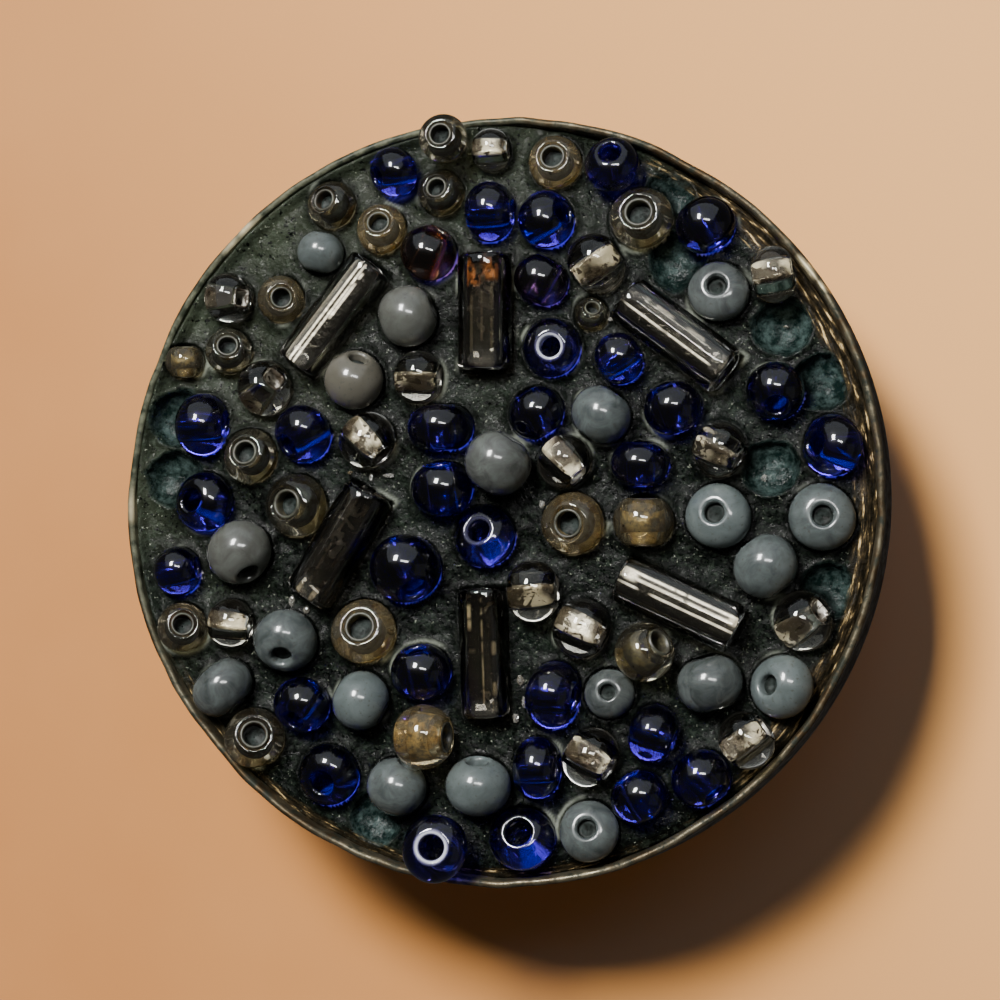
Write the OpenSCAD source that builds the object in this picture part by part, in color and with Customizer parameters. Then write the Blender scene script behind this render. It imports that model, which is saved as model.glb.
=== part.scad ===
/* [Tray] */
// Outer diameter of the tray's rim
rim_d = 25.4; // [25.4:0.2:30]
// Height of the tray from its back to the top of its rim
tray_h = 2.8; // [2.6:0.1:4]
// Thickness of the tray's upright rim
rim_t = 0.35; // [0.3:0.05:0.4]
// Thickness of the tray's floor
floor_t = 0.6; // [0.4:0.1:0.8]
// Radius of the bend between the tray's floor and its rim
bend_r = 0.7; // [0.5:0.1:1]

/* [Enamel bed] */
// Depth of the bed's edge below the top of the rim
bed_drop = 0.4; // [0.3:0.05:0.6]
// Height of the bed's crown above its edge
bed_rise = 0.5; // [0.3:0.1:0.8]
// Radius of the flat crown in the middle of the bed
crown_r = 5.2; // [4:0.2:8]
// Depth of a dimple left by a lost bead
dimple_depth = 0.5; // [0.3:0.05:0.6]
// Rise above which a bead stands on a mound of the bed
mound_rise = 0.6; // [0.5:0.1:1]

/* [Glass] */
// Size of a bead as a share of its charted size
bead_fit = 0.97; // [0.9:0.01:0.97]
// Bore of a bead as a share of its width
bore_share = 0.36; // [0.3:0.02:0.42]
// Bore of a bugle bead as a share of its width
bugle_bore_share = 0.45; // [0.35:0.05:0.55]

/* [Ear clip] */
// Gap between the paddle and the pad, where the ear lobe goes
lobe_gap = 4.7; // [4.5:0.1:6]
// Diameter of the paddle that presses on the back of the lobe
paddle_d = 9; // [7:0.5:10]
// Thickness of the paddle and its arm
paddle_t = 0.9; // [0.8:0.1:1.2]
// Diameter of the pad that is fixed to the tray's back
pad_d = 10; // [8:0.5:12]
// Thickness of the pad
pad_t = 0.6; // [0.5:0.1:1]
// Width of the arm and of the upright that joins the paddle to the pad
arm_w = 4; // [3:0.5:5]
// Distance from the tray's axis to the outer face of the upright
arm_reach = 8.6; // [7.5:0.1:9.5]

/* [Fit] */
// Clear gap between two pieces that meet
fit_gap = 0.04; // [0.03:0.01:0.06]

/* [Hidden] */
$fn = 48;
pad_z = paddle_t + lobe_gap;
tray_z = pad_z + pad_t + fit_gap;
rim_r = rim_d / 2;
rim_z = tray_z + tray_h;
bed_r = rim_r - rim_t - fit_gap;
bed_z = tray_z + floor_t + fit_gap;
bed_edge_z = rim_z - bed_drop;
dimple_r = 1.1;
mound_share = 0.6;
spread = rim_d / 25.4;

// Height of the bed's surface at a distance from the axis
function surface_z(away) = bed_edge_z + bed_rise * min(1, (bed_r - away) / (bed_r - crown_r));

// Each bead: place across the face, rise of its centre above the bed, lean of its bore from the
// face's normal, turn of that lean from +X, width across the bore and length along it
// Columns: x, y, rise, lean, turn, wide, long
cobalt_beads = [
    [-3.45, 10.8, 0.45, 55, 200, 1.7, 1.5],
    [-0.25, 9.4, 0.35, 90, 0, 2.05, 1.6],
    [1.65, 9.1, 0.35, 60, 15, 1.95, 1.75],
    [-2.25, 8.1, 0.35, 70, 60, 1.95, 1.8],
    [1.5, 7.1, 0.35, 90, 60, 1.85, 1.65],
    [3.85, 10.8, 0.75, 30, 90, 1.85, 1.5],
    [6.85, 8.8, 0.4, 80, -60, 2.0, 1.85],
    [1.85, 4.9, 0.2, 3, 0, 1.95, 1.4],
    [4.05, 4.5, 0.35, 90, 30, 1.75, 1.6],
    [-9.95, 2.55, 0.35, 90, 0, 2.1, 1.75],
    [-6.45, 2.2, 0.4, 50, 225, 2.0, 1.75],
    [-9.9, 0, 0.25, 25, 170, 2.05, 1.5],
    [-10.8, -2.3, 0.35, 90, 10, 1.7, 1.65],
    [-1.8, 2.35, 0.35, 90, 90, 2.2, 1.5],
    [1.35, 2.8, 0.35, 80, 120, 1.9, 1.75],
    [-1.75, 0.35, 0.4, 75, 95, 2.05, 1.85],
    [-2.95, -2.25, 0.45, 60, -60, 2.4, 2.2],
    [-0.35, -1.2, 0.25, 18, 120, 2.1, 1.5],
    [9.1, 3.4, 0.4, 40, -80, 1.95, 1.9],
    [10.9, 1.65, 0.35, 45, 175, 2.1, 1.6],
    [5.8, 2.9, 0.35, 80, 110, 1.95, 1.8],
    [4.75, 1.1, 0.3, 85, 90, 1.95, 1.45],
    [-6.5, -6.7, 0.4, 45, -110, 1.9, 1.8],
    [-5.65, -9.0, 0.25, 20, -110, 2.1, 1.5],
    [-2.45, -5.6, 0.4, 70, 100, 2.05, 1.85],
    [-1.9, -11.3, 1.2, 8, 80, 2.25, 1.5],
    [0.8, -11.0, 0.25, 20, 90, 2.2, 1.6],
    [1.35, -8.7, 0.35, 90, 0, 2.05, 1.5],
    [1.9, -6.35, 0.35, 80, -10, 2.3, 1.6],
    [5.1, -7.55, 0.35, 90, -20, 1.95, 1.55],
    [6.65, -9.0, 0.3, 70, -45, 2.0, 1.75],
    [4.65, -9.6, 0.4, 75, 120, 1.9, 1.7]
];
opal_beads = [
    [-5.95, 8.2, 0.3, 90, 80, 1.6, 1.45],
    [-2.9, 6.0, 0.4, 90, 20, 2.15, 2.0],
    [-4.7, 3.95, 0.4, 60, 70, 2.05, 1.95],
    [7.25, 6.65, 0.2, 15, 90, 2.05, 1.4],
    [3.5, 2.7, 0.4, 90, 55, 2.05, 1.85],
    [0.2, 1.15, 0.9, 85, 60, 2.25, 2.1],
    [-8.6, -1.7, 0.45, 65, -60, 2.25, 2.1],
    [7.25, -0.6, 0.25, 10, 120, 2.2, 1.6],
    [10.55, -0.65, 0.25, 8, 30, 2.25, 1.6],
    [8.75, -2.2, 0.4, 90, 125, 2.2, 2.05],
    [-7.05, -4.6, 0.35, 38, -88, 2.2, 1.9],
    [-9.25, -6.15, 0.35, 90, 130, 2.2, 1.6],
    [-4.5, -6.55, 0.4, 85, 150, 2.05, 1.9],
    [-3.3, -9.35, 0.35, 80, 60, 2.1, 1.9],
    [-0.6, -9.3, 0.4, 70, 88, 2.2, 1.95],
    [3.0, -10.75, 0.2, 12, 90, 2.05, 1.45],
    [3.7, -6.3, 0.1, 8, 90, 1.7, 1.3],
    [6.95, -5.95, 0.35, 85, 105, 2.25, 1.8],
    [9.25, -6.05, 0.35, 32, 170, 2.15, 1.7]
];
smoke_beads = [
    [-5.6, 9.8, 0.25, 20, 145, 1.65, 1.3],
    [-3.9, 8.95, 0.2, 18, 90, 1.7, 1.3],
    [-7.3, 6.7, 0.2, 15, 0, 1.6, 1.3],
    [-9.1, 5.0, 0.2, 20, 60, 1.6, 1.3],
    [-10.65, 4.7, 0.15, 80, 90, 1.35, 1.2],
    [-8.3, 1.5, 0.2, 12, 120, 1.85, 1.4],
    [-6.7, -0.15, 0.25, 18, 170, 2.15, 1.5],
    [-1.65, 11.75, 1.15, 8, 100, 1.65, 1.3],
    [-1.9, 10.1, 0.2, 15, 120, 1.55, 1.3],
    [1.9, 11.0, 0.3, 12, 90, 1.8, 1.3],
    [4.75, 9.1, 0.25, 12, 100, 2.1, 1.45],
    [2.55, -0.8, 0.25, 8, 200, 2.1, 1.5],
    [4.85, -0.75, 0.35, 85, 90, 2.05, 1.8],
    [-4.4, -4.3, 0.25, 15, 90, 2.2, 1.5],
    [-10.65, -4.15, 0.3, 20, 30, 1.7, 1.4],
    [-8.15, -7.8, 0.4, 20, 40, 2.05, 1.5],
    [-2.25, -7.7, 1.0, 80, 0, 2.2, 2.05],
    [4.9, -4.95, 0.6, 60, 30, 2.0, 1.9],
    [3.1, 6.0, 0, 30, 60, 1.15, 1.05]
];
silver_beads = [
    [-9.05, 6.75, 0.4, 55, -5, 1.75, 1.65],
    [-7.8, 3.75, 0.35, 50, 30, 1.9, 1.7],
    [-2.55, 4.0, 0.3, 90, 0, 1.8, 1.65],
    [-4.25, 1.95, 0.35, 80, -45, 1.95, 1.8],
    [-0.2, 11.45, 0.4, 90, 0, 1.45, 1.35],
    [3.3, 7.65, 0.4, 90, 33, 2.05, 1.8],
    [9.05, 7.15, 0.6, 90, 10, 1.95, 1.4],
    [7.3, 1.55, 0.35, 85, -25, 1.85, 1.75],
    [2.3, 1.2, 0.4, 80, -45, 1.85, 1.7],
    [1.3, -3.0, 0.7, 90, 5, 2.05, 1.8],
    [2.85, -4.2, 0.35, 85, -25, 2.05, 1.85],
    [3.1, -8.35, 0.35, 85, -30, 2.0, 1.65],
    [8.15, -7.75, 0.6, 85, 35, 1.95, 1.75],
    [-8.95, -4.05, 0.3, 90, -8, 1.7, 1.6],
    [9.95, -3.95, 0.35, 60, 30, 2.05, 1.8]
];

// Each bugle bead: place, rise of its axis above the bed, turn from +X, width and length
// Columns: name, x, y, rise, turn, wide, long
bugles = [
    ["bugle_top_left", -5.4, 6.1, 0.4, 52, 1.5, 4.2],
    ["bugle_top", -0.35, 6.1, 0.35, 90, 1.7, 3.8],
    ["bugle_top_right", 5.9, 5.25, 0.4, -37, 1.6, 4.2],
    ["bugle_left", -5.2, -1.45, 0.35, 59, 1.65, 4.1],
    ["bugle_right", 6.0, -3.4, 0.45, -25, 1.6, 4.1],
    ["bugle_bottom", -0.4, -5.0, 0.15, 92, 1.5, 4.2]
];

// Each dimple of a lost bead
// Columns: x, y
dimples = [
    [-10.85, 2.8],
    [-11.0, 0.75],
    [5.6, 9.65],
    [5.9, 7.7],
    [9.3, 5.5],
    [10.5, 3.7],
    [8.9, 0.95],
    [10.7, -3.0],
    [-4.1, -10.4]
];
bead_tables = [cobalt_beads, opal_beads, smoke_beads, silver_beads];

// Height of a bead's centre
function bead_z(row) = surface_z(spread * norm([row[0], row[1]])) + row[2];

// Puts its children at a bead's centre, with Z along the bead's bore
module at_bead(row) {
    translate([spread * row[0], spread * row[1], bead_z(row)])
        rotate([0, row[3], row[4]])
            children();
}

// Puts its children at a bugle bead's centre, with Z along its bore
module at_bugle(row) {
    translate([spread * row[1], spread * row[2], surface_z(spread * norm([row[1], row[2]])) + row[3]])
        rotate([0, 90, row[4]])
            children();
}

// Round glass bead with an open bore
module bead_ring(wide, long) {
    round_r = bead_fit * long / 2;
    ring_r = bead_fit * wide / 2 - round_r;
    rotate_extrude()
        difference() {
            translate([ring_r, 0]) circle(round_r);
            translate([-wide, -long]) square([wide * (1 + bore_share / 2), 2 * long]);
        }
}

// Socket for a bead in the bed: round and flat-bottomed, a gap wider and deeper than the bead
module bead_socket(row) {
    round_r = bead_fit * row[6] / 2;
    ring_r = bead_fit * row[5] / 2 - round_r;
    low = ring_r * sin(row[3]) + round_r + fit_gap;
    translate([spread * row[0], spread * row[1], bead_z(row) - low])
        cylinder(h = low + tray_h, d = bead_fit * row[5] + 2 * fit_gap);
}

module bead_field(rows) {
    for (row = rows)
        at_bead(row) bead_ring(row[5], row[6]);
}

module bugle(row) {
    color([0.45, 0.43, 0.4])
        at_bugle(row)
            difference() {
                cylinder(h = row[6], d = row[5], center = true);
                cylinder(h = row[6] + 1, d = row[5] * bugle_bore_share, center = true);
            }
}

// Turned tray: flat floor, rounded bend, upright rim with a rounded edge
module tray() {
    edge_r = rim_t / 2;
    color([0.55, 0.5, 0.4])
        translate([0, 0, tray_z])
            rotate_extrude($fn = 128)
                difference() {
                    union() {
                        square([rim_r - bend_r, tray_h - edge_r]);
                        translate([0, bend_r]) square([rim_r, tray_h - edge_r - bend_r]);
                        translate([rim_r - bend_r, bend_r]) circle(bend_r);
                        translate([rim_r - edge_r, tray_h - edge_r]) circle(edge_r);
                    }
                    translate([0, floor_t]) square([rim_r - rim_t, tray_h]);
                }
}

// Low mound of the bed under a bead that stands high, kept inside the rim
module mound(row) {
    mound_r = mound_share * row[5] / 2;
    away = norm([row[0], row[1]]);
    pull = min(spread, (bed_r - mound_r - fit_gap) / away);
    translate([pull * row[0], pull * row[1], bed_z])
        cylinder(h = bead_z(row) - bed_z, r = mound_r);
}

// Raised bed with a socket for every bead, a groove for every bugle bead and a dimple for every
// lost bead
module enamel_bed() {
    color([0.2, 0.27, 0.26])
        difference() {
            union() {
                translate([0, 0, bed_z])
                    cylinder(h = bed_edge_z - bed_z, r = bed_r, $fn = 128);
                translate([0, 0, bed_edge_z])
                    cylinder(h = bed_rise, r1 = bed_r, r2 = crown_r, $fn = 128);
                for (rows = bead_tables, row = rows)
                    if (row[2] >= mound_rise)
                        mound(row);
            }
            for (rows = bead_tables, row = rows)
                bead_socket(row);
            for (row = bugles)
                at_bugle(row)
                    cylinder(h = row[6] + 2 * fit_gap, d = row[5] + 2 * fit_gap, center = true);
            for (spot = dimples)
                translate([spread * spot[0], spread * spot[1],
                        surface_z(spread * norm(spot)) + dimple_r - dimple_depth])
                    sphere(dimple_r);
        }
}

module beads_cobalt() {
    color([0.08, 0.08, 0.45]) bead_field(cobalt_beads);
}

module beads_opal() {
    color([0.6, 0.64, 0.66]) bead_field(opal_beads);
}

module beads_smoke() {
    color([0.5, 0.47, 0.38]) bead_field(smoke_beads);
}

module beads_silver() {
    color([0.75, 0.73, 0.68]) bead_field(silver_beads);
}

// One bent strip: round paddle, arm, upright and the pad on the tray's back
module ear_clip() {
    color([0.62, 0.58, 0.48])
        union() {
            cylinder(h = paddle_t, d = paddle_d);
            translate([-arm_w / 2, -arm_reach, 0]) cube([arm_w, arm_reach, paddle_t]);
            translate([-arm_w / 2, -arm_reach, 0]) cube([arm_w, paddle_t, pad_z + pad_t]);
            translate([-arm_w / 2, -arm_reach, pad_z]) cube([arm_w, arm_reach, pad_t]);
            translate([0, 0, pad_z]) cylinder(h = pad_t, d = pad_d);
        }
}

tray();
enamel_bed();
bugle(bugles[0]);  // bugle_top_left
bugle(bugles[1]);  // bugle_top
bugle(bugles[2]);  // bugle_top_right
bugle(bugles[3]);  // bugle_left
bugle(bugles[4]);  // bugle_right
bugle(bugles[5]);  // bugle_bottom
beads_cobalt();
beads_opal();
beads_smoke();
beads_silver();
ear_clip();
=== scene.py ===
import math

import bpy
import numpy as np
from mathutils import Matrix, Quaternion, Vector


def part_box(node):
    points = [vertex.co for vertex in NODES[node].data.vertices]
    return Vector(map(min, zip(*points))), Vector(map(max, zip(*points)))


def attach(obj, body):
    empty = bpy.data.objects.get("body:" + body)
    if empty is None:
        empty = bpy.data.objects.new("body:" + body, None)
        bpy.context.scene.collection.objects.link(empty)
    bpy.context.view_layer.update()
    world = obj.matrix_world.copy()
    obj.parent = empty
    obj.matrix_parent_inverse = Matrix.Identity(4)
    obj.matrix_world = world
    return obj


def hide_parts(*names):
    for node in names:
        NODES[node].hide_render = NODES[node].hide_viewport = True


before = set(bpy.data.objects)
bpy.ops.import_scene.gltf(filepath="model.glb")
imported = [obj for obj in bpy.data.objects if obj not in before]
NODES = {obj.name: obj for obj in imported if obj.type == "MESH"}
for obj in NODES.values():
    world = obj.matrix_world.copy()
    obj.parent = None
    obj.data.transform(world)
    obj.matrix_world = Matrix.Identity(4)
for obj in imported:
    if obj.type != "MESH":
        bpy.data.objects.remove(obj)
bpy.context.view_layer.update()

# A button earring: a metal tray of dark enamel, packed with glass seed beads and short tubes, with
# a clip on its back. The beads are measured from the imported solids. Lengths are in millimetres
# until a mesh or a shader is made; only the lamps and the camera are in metres.

MM = 0.001
FULL_TURN = 2 * math.pi
ANY_TURN = 6.28  # the end of the range that random turns are drawn from

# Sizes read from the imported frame
tray_low, tray_high = (np.array(c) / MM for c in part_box("tray"))
clip_low, clip_high = (np.array(c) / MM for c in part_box("ear_clip"))
RIM_Z = tray_high[2]
TRAY_Z = tray_low[2]
RIM_R = (tray_high[0] - tray_low[0]) / 2

# Sizes that repeat the source's own: the rim's wall, and the bed's drop, crown and rise
RIM_T = 0.35
BED_EDGE_Z = RIM_Z - 0.4
CROWN_R = 5.2
BED_RISE = 0.5
BED_R = RIM_R - RIM_T - 0.02

# The scene's beads and tubes are this much larger than their solids, which keep clear gaps
BEAD_GROW = 1.03
TUBE_GROW_WIDE, TUBE_GROW_LONG = 1.06, 1.01

# From the face to the camera, and across the face away from the main light
LOOK = Vector((0.185, -0.04, 0.98)).normalized()
AWAY_FROM_LIGHT = np.array([0.55, -0.83])


# Small tools

def unit(v):
    return v / np.linalg.norm(v)


def square_to(axis):
    """Two unit vectors at right angles to an axis and to each other."""
    u = unit(np.cross(axis, [0.0, 1.0, 0.0] if abs(axis[1]) < 0.9 else [1.0, 0.0, 0.0]))
    return u, np.cross(axis, u)


def smooth_step(t):
    """0 up to t = 0, 1 from t = 1, and a smooth rise between."""
    t = np.clip(t, 0, 1)
    return t * t * (3 - 2 * t)


def between(value, low, high, soft, soft_high=None):
    """1 between low and high and 0 outside; it rises over soft and falls over soft_high."""
    return smooth_step((value - low) / soft) * smooth_step((high - value) / (soft_high or soft))


def polar(x, y):
    """Distance from the axis, and turn in degrees from -180 to 180."""
    return np.hypot(x, y), np.degrees(np.arctan2(y, x))


def value_noise(x, y, cell, seed):
    """Smooth noise from -1 to 1 over the plane, with features of the size of cell."""
    n = 128
    lattice = np.random.default_rng(seed).uniform(-1, 1, (n, n))
    u, v = x / cell, y / cell
    i, j = np.floor(u).astype(int), np.floor(v).astype(int)
    a, b = smooth_step(u - i), smooth_step(v - j)
    at = lambda p, q: lattice[(i + p) % n, (j + q) % n]
    low = at(0, 0) * (1 - a) + at(1, 0) * a
    high = at(0, 1) * (1 - a) + at(1, 1) * a
    return low * (1 - b) + high * b


def arc(cx, cz, r, start, end, steps):
    """Points on an arc, in degrees from the first coordinate's own direction."""
    a = np.radians(np.linspace(start, end, steps))
    return list(zip(cx + r * np.cos(a), cz + r * np.sin(a)))


def loop_faces(rows, columns, closed=True):
    """Quads between rows of points, each row a ring; closed joins the last row to the first."""
    faces = []
    for i in range(rows if closed else rows - 1):
        for j in range(columns):
            a, b = i * columns, (i + 1) % rows * columns
            faces.append((a + j, a + (j + 1) % columns, b + (j + 1) % columns, b + j))
    return faces


def mesh_piece(name, verts_mm, faces, materials, marks=None, slots=None, smooth=True):
    """An object from points in millimetres; marks are values for the materials at each point."""
    mesh = bpy.data.meshes.new(name)
    mesh.from_pydata((np.asarray(verts_mm) * MM).tolist(), [], faces)
    mesh.update()
    for key, values in (marks or {}).items():
        layer = mesh.attributes.new(key, "FLOAT", "POINT")
        layer.data.foreach_set("value", np.asarray(values, np.float32))
    mesh.polygons.foreach_set("use_smooth", [smooth] * len(mesh.polygons))
    for material in materials:
        mesh.materials.append(material)
    if slots is not None:
        mesh.polygons.foreach_set("material_index", slots)
    piece = bpy.data.objects.new(name, mesh)
    bpy.context.scene.collection.objects.link(piece)
    return piece


class Builder:
    """Collects the bodies of one piece; mark, hue and lip are each point's marks."""

    def __init__(self):
        self.verts, self.faces, self.slots = [], [], []
        # lip carries a painted highlight ring round a bead's bore.
        self.marks = {"mark": [], "hue": [], "lip": []}
        self.count = 0

    def add(self, verts, faces, slot=0, **marks):
        self.verts.append(verts)
        self.faces += [tuple(i + self.count for i in f) for f in faces]
        self.slots += [slot] * len(faces)
        for key, values in self.marks.items():
            value = marks.get(key, 0.0)
            values.append(np.full(len(verts), value) if np.isscalar(value) else value)
        self.count += len(verts)

    def piece(self, name, materials, smooth=True):
        marks = {key: np.concatenate(values) for key, values in self.marks.items()}
        return mesh_piece(name, np.concatenate(self.verts), self.faces, materials, marks,
                          self.slots, smooth)


# Where the beads lie

def loose_parts(node):
    """The points of each separate solid of a node, in millimetres."""
    mesh = NODES[node].data
    co = np.array([v.co for v in mesh.vertices], float) / MM
    keys = np.round(co * 1e4).astype(np.int64)
    _, first, back = np.unique(keys, axis=0, return_index=True, return_inverse=True)
    points, back = co[first], back.ravel()
    edges = back[np.array([e.vertices[:] for e in mesh.edges])]
    labels = np.arange(len(points))
    while True:
        low = np.minimum(labels[edges[:, 0]], labels[edges[:, 1]])
        lower = labels.copy()
        np.minimum.at(lower, edges[:, 0], low)
        np.minimum.at(lower, edges[:, 1], low)
        if (lower == labels).all():
            return [points[labels == k] for k in np.unique(labels)]
        labels = lower


def middle(points):
    return (points.min(0) + points.max(0)) / 2


def sizes_about(centre, axis, points):
    """A drilled body's centre, bore axis, width, length and bore radius."""
    p = points - centre
    away = np.linalg.norm(np.cross(p, axis), axis=1)
    along = p @ axis
    return {"centre": centre, "axis": axis, "wide": 2 * away.max(),
            "long": along.max() - along.min(), "bore": away.min()}


def measure_bead(points):
    """Measures a bead; its bore's axis is the line that all its points stay furthest from."""
    centre = middle(points)
    p = points - centre
    rng = np.random.default_rng(5)
    tries, tries_near = 700, 160
    k = np.arange(tries) + 0.5
    z, turn = k / tries, k * math.pi * (1 + 5 ** 0.5)
    flat = np.sqrt(1 - z * z)
    ways = np.stack([flat * np.cos(turn), flat * np.sin(turn), z], 1)
    for spread in (0.06, 0.02, 0.006):
        away = np.linalg.norm(np.cross(p[None], ways[:, None]), axis=2).min(1)
        best = ways[away.argmax()]
        ways = best + rng.normal(0, spread, (tries_near, 3))
        ways[0] = best
        ways /= np.linalg.norm(ways, axis=1)[:, None]
    return sizes_about(centre, -best if best[2] < 0 else best, points)


def measure_tube(points):
    """Measures a tube, whose axis is its longest way."""
    centre = middle(points)
    axis = np.linalg.svd(points - centre, full_matrices=False)[2][0]
    return sizes_about(centre, axis, points)


BEADS = {kind: [measure_bead(p) for p in loose_parts("beads_" + kind)]
         for kind in ("cobalt", "opal", "smoke", "silver")}
BUGLES = {node: measure_tube(loose_parts(node)[0])
          for node in sorted(NODES) if node.startswith("bugle")}


# Materials

class Nodes:
    """One material in the making, with short names for building its nodes."""

    def __init__(self, name):
        self.material = bpy.data.materials.new(name)
        self.material.use_nodes = True
        self.tree = self.material.node_tree
        self.bsdf = self.tree.nodes["Principled BSDF"]
        self.out = self.tree.nodes["Material Output"]
        self.where = self.new("ShaderNodeTexCoord").outputs["Object"]

    def put(self, socket, value):
        """Links a socket to another, or sets it to a number, a vector or a colour."""
        if hasattr(value, "is_linked"):
            self.tree.links.new(value, socket)
        elif hasattr(value, "__len__") and len(value) < len(socket.default_value):
            socket.default_value = (*value, 1)
        else:
            socket.default_value = value

    def new(self, kind, inputs=None, **settings):
        """A node with these settings; inputs gives values or sockets by name or number."""
        node = self.tree.nodes.new(kind)
        for key, value in settings.items():
            setattr(node, key, value)
        for key, value in (inputs or {}).items():
            self.put(node.inputs[key], value)
        return node

    def set(self, **values):
        """The shader's own inputs by name, with _ for each space."""
        for key, value in values.items():
            self.put(self.bsdf.inputs[key.replace("_", " ")], value)

    def noise_at(self, where, scale, detail, rough, distort=0.0):
        inputs = {"Vector": where, "Scale": scale, "Detail": detail, "Roughness": rough,
                  "Distortion": distort}
        return self.new("ShaderNodeTexNoise", inputs).outputs["Fac"]

    def noise(self, size_mm, detail=3.0, rough=0.55, distort=0.0):
        return self.noise_at(self.where, 1 / (size_mm * MM), detail, rough, distort)

    def ramp(self, value, *stops):
        """Each stop is a position and a grey or a colour."""
        node = self.new("ShaderNodeValToRGB", {"Fac": value})
        elements = node.color_ramp.elements
        while len(elements) < len(stops):
            elements.new(0.5)
        for element, (position, colour) in zip(elements, stops):
            element.position = position
            grey = not hasattr(colour, "__len__")
            element.color = (colour, colour, colour, 1) if grey else (*colour, 1)
        return node.outputs["Color"]

    def patches(self, low, high, size_mm, detail=3.0, rough=0.55, distort=0.0):
        """0 where the noise is below low, and 1 where it is above high."""
        return self.ramp(self.noise(size_mm, detail, rough, distort), (low, 0.0), (high, 1.0))

    def mix(self, share, a, b, blend="MIX"):
        inputs = {0: share, 6: a, 7: b}
        return self.new("ShaderNodeMix", inputs, data_type="RGBA", blend_type=blend).outputs[2]

    def attribute(self, name):
        return self.new("ShaderNodeAttribute", attribute_name=name).outputs["Fac"]

    def bump(self, height, strength, distance_mm):
        inputs = {"Height": height, "Strength": strength, "Distance": distance_mm * MM}
        self.set(Normal=self.new("ShaderNodeBump", inputs).outputs["Normal"])

    def own_tint(self, share):
        """0 to 1: a soft streak in the glass, and a share of the bead's own mark."""
        streak = self.patches(0.35, 0.7, 0.9, 2.0, 0.5, 0.6)
        return self.mix(share, streak, self.attribute("mark"))

    def pressed(self):
        """The slight waves of pressed glass."""
        self.bump(self.noise(0.5, 2.0), 0.12, 0.03)

    def lets_lamps_through(self, colour):
        """Glass that lamps shine through, so that what lies under a bead is lit."""
        clear = self.new("ShaderNodeBsdfTransparent", {"Color": colour})
        lamp_ray = self.new("ShaderNodeLightPath").outputs["Is Shadow Ray"]
        inputs = {0: lamp_ray, 1: self.bsdf.outputs[0], 2: clear.outputs[0]}
        mix = self.new("ShaderNodeMixShader", inputs)
        self.put(self.out.inputs["Surface"], mix.outputs[0])


def clear_material(name, pale, deep, shadow):
    """Clear glass from pale to deep; shadow is the colour of the lamps' light through it."""
    m = Nodes(name)
    m.set(Base_Color=m.mix(m.own_tint(0.65), pale, deep), Roughness=0.02, IOR=1.5,
          Transmission_Weight=1.0)
    m.pressed()
    m.lets_lamps_through(shadow)
    return m.material


def cobalt_material():
    """Blue glass with a dull coat: amber where hue is 1, and a painted highlight where lip is 1."""
    m = Nodes("cobalt_glass")
    blue = m.mix(m.own_tint(0.6), (0.013, 0.005, 0.13), (0.045, 0.015, 0.38))
    glassy = m.mix(m.attribute("hue"), blue, (0.21, 0.1, 0.055))
    # Painted highlight: where lip is 1 the glass turns pale and much less clear, a ring standing in
    # for light caught on the bore's rim.
    painted_highlight = m.attribute("lip")
    m.set(Base_Color=m.mix(painted_highlight, glassy, (0.75, 0.78, 0.85)), Roughness=0.03, IOR=1.5,
          Coat_Weight=0.12, Coat_Roughness=0.25,
          Transmission_Weight=m.ramp(painted_highlight, (0.0, 1.0), (1.0, 0.2)))
    m.pressed()
    m.lets_lamps_through((0.08, 0.05, 0.45))
    return m.material


def opal_material():
    """Milky grey glass with soft clouds, warmer where hue is 1."""
    m = Nodes("opal_glass")
    cloud = m.ramp(m.noise(0.7, 4.0, 0.6, 0.8),
                   (0.32, (0.014, 0.017, 0.017)), (0.68, (0.074, 0.085, 0.084)))
    warm = m.mix(m.attribute("hue"), cloud, (0.07, 0.062, 0.046))
    pale_share = m.ramp(m.attribute("mark"), (0.0, 0.0), (1.0, 0.5))
    own = m.mix(pale_share, warm, (0.11, 0.138, 0.138))
    specks = m.patches(0.6, 0.75, 0.12, 2.0)
    own = m.mix(specks, own, (0.05, 0.053, 0.047))
    # Painted shade: the base colour darkens towards the bead's outline as the camera sees it.
    outline = m.new("ShaderNodeLayerWeight", {"Blend": 0.35}).outputs["Facing"]
    shade = m.ramp(outline, (0.5, 0.0), (1.0, 0.9))
    m.set(Base_Color=m.mix(shade, own, (0.03, 0.035, 0.035)), Roughness=0.24, IOR=1.5,
          Specular_IOR_Level=0.28, Coat_Weight=0.6, Coat_Roughness=0.03,
          Subsurface_Weight=0.8, Subsurface_Scale=0.35 * MM, Subsurface_Radius=(1.0, 1.0, 1.0))
    m.bump(m.noise(0.6, 2.0), 0.1, 0.03)
    return m.material


def smoke_material():
    """Clear glass gone olive and amber, with brown stains and a few black specks in it."""
    m = Nodes("smoke_glass")
    clear = m.mix(m.own_tint(0.65), (0.68, 0.68, 0.56), (0.62, 0.5, 0.28))
    stains = m.ramp(m.noise(0.5, 4.0, 0.65, 0.6), (0.52, 0.0), (0.62, 0.8))
    stained = m.mix(stains, clear, (0.34, 0.22, 0.09))
    specks = m.patches(0.64, 0.7, 0.2, 3.0, 0.6)
    m.set(Base_Color=m.mix(specks, stained, (0.04, 0.03, 0.02)), Roughness=0.02, IOR=1.5,
          Transmission_Weight=m.ramp(m.attribute("mark"), (0.2, 0.993), (1.0, 0.96)))
    m.pressed()
    m.lets_lamps_through((0.4, 0.37, 0.28))
    return m.material


def plug_material():
    """The dark enamel that has run into a bore."""
    m = Nodes("bore_filling")
    dark = m.ramp(m.noise(0.25, 3.0), (0.35, (0.004, 0.005, 0.004)), (0.7, (0.025, 0.032, 0.03)))
    m.set(Base_Color=dark, Roughness=0.4, Specular_IOR_Level=0.06)
    m.bump(m.noise(0.2, 3.0), 0.5, 0.06)
    return m.material


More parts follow.
